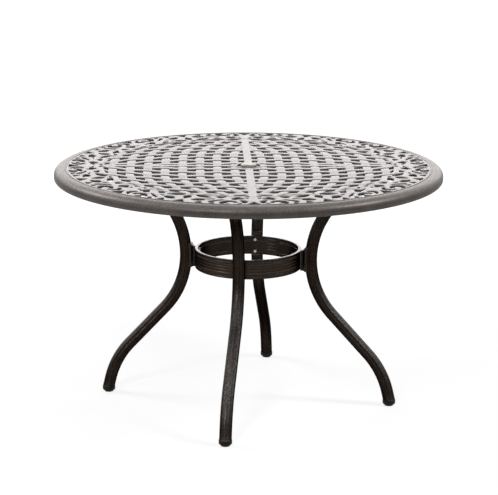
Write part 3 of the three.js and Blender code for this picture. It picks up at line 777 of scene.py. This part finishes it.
places, triangles, new_of = upper
low_places, low_triangles, low_of = lower
height = relief(places, distance_to_opening(places))
on_edge = np.hypot(*places.T) > PANEL_RADIUS - 0.5
height[on_edge] = np.minimum(height[on_edge], 0)
low_start = len(places)
total = low_start + len(low_places)
points = [np.c_[places, PANEL_TOP + height],
          np.c_[low_places, np.full(len(low_places), PANEL_BOTTOM)]]
faces = [tuple(t) for t in triangles] + [tuple(t[::-1] + low_start) for t in low_triangles]
at = 0
for i, loop in enumerate(upper_loops):
    count = len(loop)
    rings = [new_of[at:at + count], low_of[at:at + count] + low_start]
    if i:
        outline, lip = openings[i - 1], lips[i - 1]
        level = PANEL_TOP + height[rings[0]]
        points += [np.c_[offset(outline, LIP_SHARE * lip), level - LIP_SHARE * lip],
                   np.c_[outline, level - lip],
                   np.c_[outline, np.full(count, PANEL_BOTTOM + LOWER_LIP)]]
        rings[1:1] = [total + count * k + np.arange(count) for k in range(3)]
        total += 3 * count
    for first, second in zip(rings, rings[1:]):
        faces += [(first[k], first[(k + 1) % count], second[(k + 1) % count], second[k])
                  for k in range(count)]
    at += count
panel_part = spun(np.concatenate(points), PATTERN_TURN), faces
print("top panel:", len(faces), "faces")

# %% [markdown]
# ## Underside of the top
# Below the openwork the founder adds metal where the load goes: a hub round the parasol hole, a
# rib along each seam and a pad over each leg. Their sides lean a little, so that the casting
# leaves its mould, and their edges are rounded.

# %% Hub, ribs and pads
HUB_DEPTH = 14
RECESS_DEPTH = 4.5
RIB_WIDTH = 8
RIB_DEPTH = 8
RIB_END = 450
FLANGE_CORNER = 12
BOSS_MARGIN = 2
flange_low, flange_high = extent("leg_flange_right")
FLANGE_PLACE = (flange_low[0] + flange_high[0]) / 2

hub_low, hub_floor = PANEL_BOTTOM - HUB_DEPTH, PANEL_TOP - RECESS_DEPTH
hub_part = turned([
    (HOLE_RADIUS, hub_floor - 0.8), (HOLE_RADIUS, hub_low + 1), (HOLE_RADIUS + 1, hub_low),
    (HUB_RADIUS - 1.5, hub_low), (HUB_RADIUS - 0.4, hub_low + 1.2),
    (HUB_RADIUS, PANEL_BOTTOM + 0.5), (RECESS_RADIUS + 1, PANEL_BOTTOM + 0.5),
    (RECESS_RADIUS + 1, hub_floor), (HOLE_RADIUS + 0.8, hub_floor),
], 64)

boss_part = lofted([
    (rectangle(flange_low - BOSS_MARGIN, flange_high + BOSS_MARGIN, FLANGE_CORNER + 2, shrink), z)
    for shrink, z in ((1.4, BOSS_BOTTOM), (0.3, BOSS_BOTTOM + 1.2), (0, PANEL_BOTTOM + 1))])

rib_start, rib_bottom = HUB_RADIUS - 3, PANEL_BOTTOM - RIB_DEPTH
rib_plans = []
for shrink, z in ((1.3, rib_bottom), (0.4, rib_bottom + 1.1), (0, PANEL_BOTTOM + 1)):
    half, end = RIB_WIDTH / 2 - shrink, RIB_END - shrink
    rib_plans.append(([(rib_start, -half), (end, -half), (end, half), (rib_start, half)], z))
rib_points, rib_faces = lofted(rib_plans)

top_parts = [panel_part, hub_part, *[(spun(boss_part[0], 90 * k), boss_part[1]) for k in range(4)]]
top_parts += [(spun(rib_points, PATTERN_TURN + 90 * k), rib_faces) for k in range(4)]
top = shaped("openwork_top", top_parts, top_coat, "cast_top")
print("openwork top:", len(top.data.polygons), "faces")

# %% [markdown]
# ## Parasol plug
# Without a parasol the hole in the middle is closed by a plug. It is a low drum with a rounded
# and slightly crowned top, wide enough for a hand, and its short spigot keeps it centred. It is
# a piece of its own, because it lifts out.

# %% Parasol plug
PLUG_RADIUS = 24.75
PLUG_EDGE = 3.8
PLUG_CROWN = 1
SPIGOT_RADIUS = 20.5
plug_low, plug_high = (end[2] for end in extent("parasol_plug"))
plug_seat = hub_floor + GAP
shoulder = plug_high - PLUG_CROWN
plug_profile = [
    (0, plug_low), (SPIGOT_RADIUS - 0.8, plug_low), (SPIGOT_RADIUS, plug_low + 0.8),
    (SPIGOT_RADIUS, plug_seat), (PLUG_RADIUS - 0.7, plug_seat), (PLUG_RADIUS, plug_seat + 0.7),
    *quarter((PLUG_RADIUS - PLUG_EDGE, shoulder - PLUG_EDGE), PLUG_EDGE, PLUG_EDGE, 0, 84, 7),
    *[(r, plug_high - PLUG_CROWN * (r / PLUG_RADIUS) ** 2) for r in (16, 11, 6, 0)],
]
plug = shaped("hole_plug", [turned(plug_profile, 96)], plug_coat_painted_pale, "parasol_plug",
              "plug")
print("plug:", len(plug.data.polygons), "faces")

# %% [markdown]
# ## Legs
# Each leg is an extruded fluted tube, bent in a former: it leaves the flange, bows in to the ring
# and out to the foot, and turns back at the toe. The flutes catch the light as thin bands along
# the tube, so the section is swept down the same centre line as in the frame, in finer steps.

# %% Centre line of a leg
glide_low, glide_high = extent("levelling_glide_right")
FOOT_PLACE = (glide_low[0] + glide_high[0]) / 2
TOE_LEAN = math.radians(13.6)
TOE_STRAIGHT = 28
UPPER_SHARE = 0.48
LOWER_SHARE = 0.4
TOE_SHARE = 1.04
BOW_STEPS, TOE_STEPS = 20, 14
WORN_END = 2  # an extra station here keeps the worn edge of the tube's end narrow


def arc(place, lean, radius, slopes):
    """Stations of radius, height and slope from upright, on an arc with a lean at a place."""
    return [(place[0] + radius * (math.cos(lean) - math.cos(a)),
             place[1] - radius * (math.sin(a) - math.sin(lean)), a) for a in slopes]


rise, spread_out = LEG_TOP - RING_MIDDLE, FLANGE_PLACE - WAIST_PLACE
upper_lean = (1 + UPPER_SHARE) * math.atan2(spread_out, rise)
bow = (rise * math.sin(upper_lean) - spread_out * math.cos(upper_lean)) / (1 - math.cos(upper_lean))
lean_x, lean_z = math.sin(TOE_LEAN), math.cos(TOE_LEAN)
drop = RING_MIDDLE - LEG_BOTTOM - TOE_STRAIGHT * lean_z
stride = FOOT_PLACE - WAIST_PLACE - TOE_STRAIGHT * lean_x
lower_lean = (1 + LOWER_SHARE) * math.atan2(stride, drop)
turn_by = 1 - math.cos(lower_lean) + TOE_SHARE * (1 - math.cos(lower_lean - TOE_LEAN))
lower_bow = (drop * math.sin(lower_lean) - stride * math.cos(lower_lean)) / turn_by
waist = (WAIST_PLACE, RING_MIDDLE)
end, worn, toe = [(FOOT_PLACE - left * lean_x, LEG_BOTTOM + left * lean_z)
                  for left in (0, WORN_END, TOE_STRAIGHT)]
line = [(FLANGE_PLACE, LEG_TOP, -upper_lean),
        *arc(waist, 0, bow, np.linspace(-upper_lean, 0, BOW_STEPS + 1)[:-1]),
        *arc(waist, 0, lower_bow, np.linspace(0, lower_lean, BOW_STEPS + 1)),
        *arc(toe, TOE_LEAN, -TOE_SHARE * lower_bow,
             np.linspace(lower_lean, TOE_LEAN, TOE_STEPS + 1)[1:]),
        (*worn, TOE_LEAN), (*end, TOE_LEAN)]
print("leg line:", len(line), "stations")

# %% Fluted tubes
FLUTES = 12
FLUTE_DEPTH = 0.9
TUBE_WALL = 2.5
POINTS_PER_FLUTE = 6

count = FLUTES * POINTS_PER_FLUTE
a = np.arange(count) * 2 * np.pi / count
share = (np.arange(count) % POINTS_PER_FLUTE) / POINTS_PER_FLUTE
fluted = TUBE_RADIUS - FLUTE_DEPTH * np.sin(np.pi * share) ** 0.8
walls = []
for radius_of in (fluted, np.full(count, TUBE_RADIUS - TUBE_WALL)):
    rows = []
    for k, (radius, height, slope) in enumerate(line):
        off, side = radius_of * np.cos(a), radius_of * np.sin(a)
        row = np.c_[radius + off * math.cos(slope), side, height + off * math.sin(slope)]
        if k in (0, len(line) - 1):  # both ends are cut level
            way = np.array([math.sin(slope), 0, -math.cos(slope)])
            row = row + ((height - row[:, 2]) / way[2])[:, None] * way
        rows.append(row)
    walls.append(rows)
rows = walls[0] + walls[1][::-1]
tube = np.concatenate(rows), bands(len(rows), count)
at_legs("fluted_leg_{}", [tube], frame_coat, "leg_{}")
print("legs made")

# %% [markdown]
# ## Flanges and their bolts
# A cast flange is welded to the top of each tube, and two hexagon bolts with washers hold it to
# the pad above. They can only be seen from below. The heads have the rounded corners of a real
# bolt and the weld is a small fillet round the tube.

# %% Flanges, washers and bolts
BOLT_RADIUS = 4
HEAD_HALF = 6.5  # half the width across the flats
WASHER_RADIUS = 8.5
WASHER_HOLE = 4.3
WELD_STEPS = 48
low, high = flange_low[2], flange_high[2]
flange = lofted([
    (rectangle(flange_low, flange_high, FLANGE_CORNER, shrink), z)
    for shrink, z in ((1.5, low), (0.4, low + 0.5), (0, low + 1.5), (0, high - 0.8), (0.8, high))])

# A fillet where the leaning tube meets the level flange
a = np.arange(WELD_STEPS) * 2 * np.pi / WELD_STEPS
rows = []
for grow, drop in ((-1, 0.3), (4.5, 0.3), (2.6, -1.2), (1.0, -3.2), (-1, -4.5)):
    reach = TUBE_RADIUS + grow
    x = FLANGE_PLACE + drop * math.tan(upper_lean) + reach * np.cos(a) / math.cos(upper_lean)
    rows.append(np.c_[x, reach * np.sin(a), np.full(WELD_STEPS, low + drop)])
weld = np.concatenate(rows), bands(len(rows), WELD_STEPS)


def hexagon_bolt(centre, low, seat, tip):
    """A bolt hanging from its seat, with a chamfered hexagon head below."""
    half, shank = HEAD_HALF, BOLT_RADIUS
    return turned([(0, low), (half * 0.9, low), (half * 0.985, low + 0.5), (half, low + 0.9),
                   (half, seat - 0.3), (half * 0.97, seat), (shank, seat), (shank, tip - 0.8),
                   (shank - 0.8, tip), (0, tip)], 36, centre, sides=(3, 4))


def washer(centre, low, high):
    hole, rim, e = WASHER_HOLE, WASHER_RADIUS, (high - low) / 4
    return turned([(hole, low), (rim - e, low), (rim, low + e), (rim, high - e), (rim - e, high),
                   (hole, high)], 36, centre)


at_legs("cast_flange_{}", [flange, weld], frame_coat, "leg_flange_{}")
for label in "ab":
    low, high = extent("flange_bolt_right_" + label)
    washer_low, washer_high = extent("flange_washer_right_" + label)
    middle = (low[:2] + high[:2]) / 2
    bolt = hexagon_bolt(middle, low[2], washer_low[2] - GAP, high[2])
    at_legs("hex_bolt_{}_" + label, [bolt], zinc, "flange_bolt_{}_" + label)
    at_legs("washer_{}_" + label, [washer(middle, washer_low[2], washer_high[2])], zinc,
            "flange_washer_{}_" + label)
print("flanges, washers and bolts made")

# %% [markdown]
# ## Ring
# The stretcher is a flat bar rolled into a ring. Both faces carry fine horizontal grooves from
# the extrusion die. Its rounded upper edge catches the light from the room and also carries the
# painted highlight of the frame's coat.

# %% Ring
BRACKET_LENGTH = 12.5
RING_THICKNESS = 10
RING_OUTER = WAIST_PLACE - TUBE_RADIUS - BRACKET_LENGTH
RING_INNER = RING_OUTER - RING_THICKNESS
RING_STEPS = 192
RING_EDGE = 1.6
GROOVE_WIDTH = 2.6
GROOVES = ((0.11, 0.5), (0.2, 1), (0.35, 0.5), (0.5, 0.5), (0.65, 0.5), (0.8, 1), (0.89, 0.5))


def grooved_face(radius, inwards):
    """One face of the bar from its foot to its head, with rounded grooves.
    Each groove has its share of the height and its depth."""
    points = []
    for share, depth in GROOVES:
        middle = RING_LOW + (RING_HIGH - RING_LOW) * share
        for way, deep in ((-0.5, 0), (-0.3, 0.7), (0, 1), (0.3, 0.7), (0.5, 0)):
            points.append((radius + inwards * depth * deep, middle + way * GROOVE_WIDTH))
    return points


ring_profile = [
    *eased(RING_OUTER, RING_LOW, RING_EDGE, -90), *grooved_face(RING_OUTER, -1),
    *eased(RING_OUTER, RING_HIGH, RING_EDGE, 0), *eased(RING_INNER, RING_HIGH, RING_EDGE, 90),
    *grooved_face(RING_INNER, 1)[::-1], *eased(RING_INNER, RING_LOW, RING_EDGE, 180),
]
ring = shaped("grooved_ring", [turned(ring_profile, RING_STEPS)], frame_coat, "stretcher_ring")
print("ring:", len(ring.data.polygons), "faces")

# %% [markdown]
# ## Brackets
# A cast web joins each leg to the ring. It hangs a little below the ring, flares up and down in
# hollow curves at the tube, and is waisted seen from above. It is lofted from upright sections,
# from inside the ring's face to inside the tube.

# %% Brackets
BRACKET_HALF = extent("ring_bracket_right")[1][1]
BRACKET_NECK = 22
BRACKET_FLARE = 10
BRACKET_DROP = 5

start, end, face = RING_OUTER - 0.8, WAIST_PLACE - 6, WAIST_PLACE - TUBE_RADIUS
sections = []
for x in np.linspace(start, end, 17):
    way = min(1, max(0, (x - start) / (face - start)))
    flare = 1 - math.sqrt(max(0, 1 - way ** 2))
    head = RING_HIGH - 1 + BRACKET_FLARE * flare
    sill = RING_LOW - BRACKET_DROP - (BRACKET_FLARE - 1 - BRACKET_DROP) * flare
    waist = math.sin(math.pi * way) ** 0.8 if way < 1 else 0
    half = BRACKET_HALF - (BRACKET_HALF - BRACKET_NECK / 2) * waist
    sections.append((rectangle((-half, sill), (half, head), 2.5, steps=3), x))
points, faces = lofted(sections)
bracket = points[:, [2, 0, 1]], faces
at_legs("cast_bracket_{}", [bracket], frame_coat, "ring_bracket_{}")
print("brackets made")

# %% [markdown]
# ## Ring bolts
# From inside the ring two bright button heads hold each bracket. A button head is a low dome
# with a hexagon socket, which shows as a dark point in the middle of the highlight.

# %% Ring bolts
BUTTON_HEIGHT = 4.2
BUTTON_RADIUS = 5.5
BUTTON_BROW = 2.6  # the dome starts at this radius, round the socket
SOCKET_HALF = 2
SOCKET_DEPTH = 2.4
SHANK_RADIUS = 3
SHANK_LENGTH = 19.8


def button_bolt(side):
    """A button-headed bolt that points outwards along X, at one side of the waist's height."""
    low, high = extent("ring_bolt_right_" + side)
    middle, seat = (low[2] + high[2]) / 2, RING_INNER - 0.2
    socket_floor = SOCKET_DEPTH - BUTTON_HEIGHT
    brow, shank, tip = BUTTON_BROW, SHANK_RADIUS, SHANK_LENGTH
    points, faces = turned([
        (0, socket_floor), (SOCKET_HALF, socket_floor), (SOCKET_HALF, 0.15 - BUTTON_HEIGHT),
        (brow, -BUTTON_HEIGHT),
        *quarter((brow, -0.6), BUTTON_RADIUS - brow, 0.6 - BUTTON_HEIGHT, 70, 0, 6),
        (BUTTON_RADIUS, 0), (shank, 0), (shank, tip - 0.8), (shank - 0.6, tip), (0, tip),
    ], 36, sides=(1, 2))
    return np.c_[points[:, 2] + seat, points[:, 1], middle - points[:, 0]], faces


for label in "ab":
    at_legs("button_bolt_{}_" + label, [button_bolt(label)], zinc, "ring_bolt_{}_" + label)
print("ring bolts made")

# %% [markdown]
# ## Feet
# A black cap closes each tube, level with the floor, and a glide screws into it. The glide's
# stud has a real thread, because it comes into sight when the glide is screwed out.

# %% Caps and glides
CAP_LOW = extent("foot_cap_right")[0][2]
CAP_TOP = LEG_BOTTOM - GAP
CAP_RADIUS = TUBE_RADIUS / math.cos(TOE_LEAN) + 0.6
CAP_EDGE = 5
CAP_SPIGOT, SPIGOT_HEIGHT = 12, 12
STUD_RADIUS = 4
STUD_HOLE = STUD_RADIUS + 0.3
THREAD_DEPTH = 0.6
THREAD_PITCH = 1.25
THREAD_STEPS = 24
GLIDE_THICKNESS = 4
foot = (FOOT_PLACE, 0)

cap = turned([
    (STUD_HOLE, CAP_LOW + 0.4), (STUD_RADIUS + 1.2, CAP_LOW),
    *eased(CAP_RADIUS, CAP_LOW, CAP_EDGE, -90, 12), *eased(CAP_RADIUS, CAP_TOP, 0.8, 0, 3),
    (CAP_SPIGOT, CAP_TOP), (CAP_SPIGOT, CAP_TOP + SPIGOT_HEIGHT),
    (STUD_HOLE, CAP_TOP + SPIGOT_HEIGHT),
], 64, foot)
low, tip, pad = glide_low[2], glide_high[2], (glide_high - glide_low)[0] / 2
high, core = low + GLIDE_THICKNESS, STUD_RADIUS - THREAD_DEPTH
glide = turned([(0, low), *eased(pad, low, 1.2, -90), *eased(pad, high, 1.2, 0),
                (STUD_RADIUS + 0.8, high), (core, high + 0.01), (core, tip), (0, tip)], 48, foot)

# A thread on the stud, which climbs by one pitch at each turn
a = np.arange(THREAD_STEPS + 1) * 2 * np.pi / THREAD_STEPS
end = tip - 0.4
rows = []
for n in range(int((end - high) / THREAD_PITCH) + 3):
    for share, reach in ((0, core), (0.15, core), (0.45, STUD_RADIUS), (0.6, STUD_RADIUS)):
        z = high + (n - 1.5 + share) * THREAD_PITCH + a / (2 * np.pi) * THREAD_PITCH
        rows.append(np.c_[foot[0] + reach * np.cos(a), foot[1] + reach * np.sin(a),
                          np.clip(z, high, end)])
row = THREAD_STEPS + 1
faces = [(i * row + j, i * row + j + 1, (i + 1) * row + j + 1, (i + 1) * row + j)
         for i in range(len(rows) - 1) for j in range(THREAD_STEPS)]
thread = np.concatenate(rows), faces
at_legs("moulded_cap_{}", [cap], plastic, "foot_cap_{}")
at_legs("screw_glide_{}", [glide, thread], plastic, "levelling_glide_{}",
        "glide_{}")
print("feet made")

# %% [markdown]
# ## Floor and light
# A product photograph of a dark table needs a bright room. World and floor are white for the
# camera and in reflections but give little light, so the frame stays dark. A wide soft light
# stands low behind the table and lets the top shine. The top would shade a lamp overhead, so four
# small ones stand in front, left, right and low at the front left, and draw thin highlights on
# the legs and the ring. The floor is pale and keeps a soft shadow.

# %% Floor
FLOOR_REACH = 30
NEAR, FAR = 1.0, 4.0  # the floor's glow grows to white between these distances


def seen_rays(tree):
    """1 for rays from the camera, a mirror or glass, and 0 for those that light the table."""
    path = add(tree, "LightPath")
    seen = combined(tree, "MAXIMUM", path.outputs["Is Camera Ray"], path.outputs["Is Glossy Ray"])
    return combined(tree, "MAXIMUM", seen, path.outputs["Is Transmission Ray"])


floor_paint, tree = new_material("pale_floor")
matt = add(tree, "BsdfDiffuse", {"Color": linear("#8c8c8c")}, 0)
away = add(tree, "VectorMath", {0: add(tree, "TexCoord", out="Object")}, "Value",
           operation="LENGTH")
glow = add(tree, "Emission", {"Color": (1, 1, 1, 1),
                              "Strength": ranged(tree, away, NEAR, FAR, 0.79, 1.0)}, 0)
both = add(tree, "AddShader", {0: matt, 1: glow}, 0)
mix = add(tree, "MixShader", {0: seen_rays(tree), 1: matt, 2: both}, 0)
add(tree, "OutputMaterial", {"Surface": mix})

floor_mesh = bpy.data.meshes.new("floor")
floor_mesh.from_pydata([(x * FLOOR_REACH, y * FLOOR_REACH, 0)
                        for x, y in ((-1, -1), (1, -1), (1, 1), (-1, 1))], [], [(0, 1, 2, 3)])
floor_mesh.materials.append(floor_paint)
floor = bpy.data.objects.new("floor", floor_mesh)
bpy.context.scene.collection.objects.link(floor)
print("floor made")

# %% World and lamps
WHITE, SOFT = 1.0, 0.15
LAMPS = {  # place and aim, width and height in metres, watts, and a colour if not white
    "back_light": ((-0.5, 4.2, 1.9), (0, 0, 0.7), 5.0, 1.8, 76, "#fffbfb"),
    "front_light": ((-0.6, -3.0, 3.0), (0, 0, 0.4), 0.7, 0.7, 44),
    "left_light": ((-2.6, 0.6, 2.6), (0, 0, 0.3), 1.2, 1.2, 48),
    "right_light": ((2.4, -0.2, 2.8), (0, 0, 0.3), 0.5, 0.8, 52),
    "low_light": ((-2.6, -2.2, 1.0), (0, 0, 0.45), 0.25, 0.7, 12),
}

world = bpy.data.worlds.new("room")
world.use_nodes = True
room = world.node_tree
room.nodes.clear()
white, soft = [add(room, "Background", {"Color": (1, 1, 1, 1), "Strength": strength}, 0)
               for strength in (WHITE, SOFT)]
backdrop = add(room, "MixShader", {0: seen_rays(room), 1: soft, 2: white}, 0)
add(room, "OutputWorld", {"Surface": backdrop})
bpy.context.scene.world = world


def soft_box(name, place, aim, wide, tall, watts, colour="#ffffff"):
    data = bpy.data.lights.new(name, "AREA")
    data.shape = "RECTANGLE"
    data.size, data.size_y, data.energy = wide, tall, watts
    data.color = linear(colour)[:3]
    lamp = bpy.data.objects.new(name, data)
    lamp.location = place
    lamp.rotation_euler = (Vector(aim) - Vector(place)).to_track_quat("-Z", "Y").to_euler()
    lamp.visible_camera = False
    bpy.context.scene.collection.objects.link(lamp)


for name, lamp in LAMPS.items():
    soft_box(name, *lamp)
bpy.context.scene.view_settings.view_transform = "Standard"
print("room lit by", len(LAMPS), "lamps")
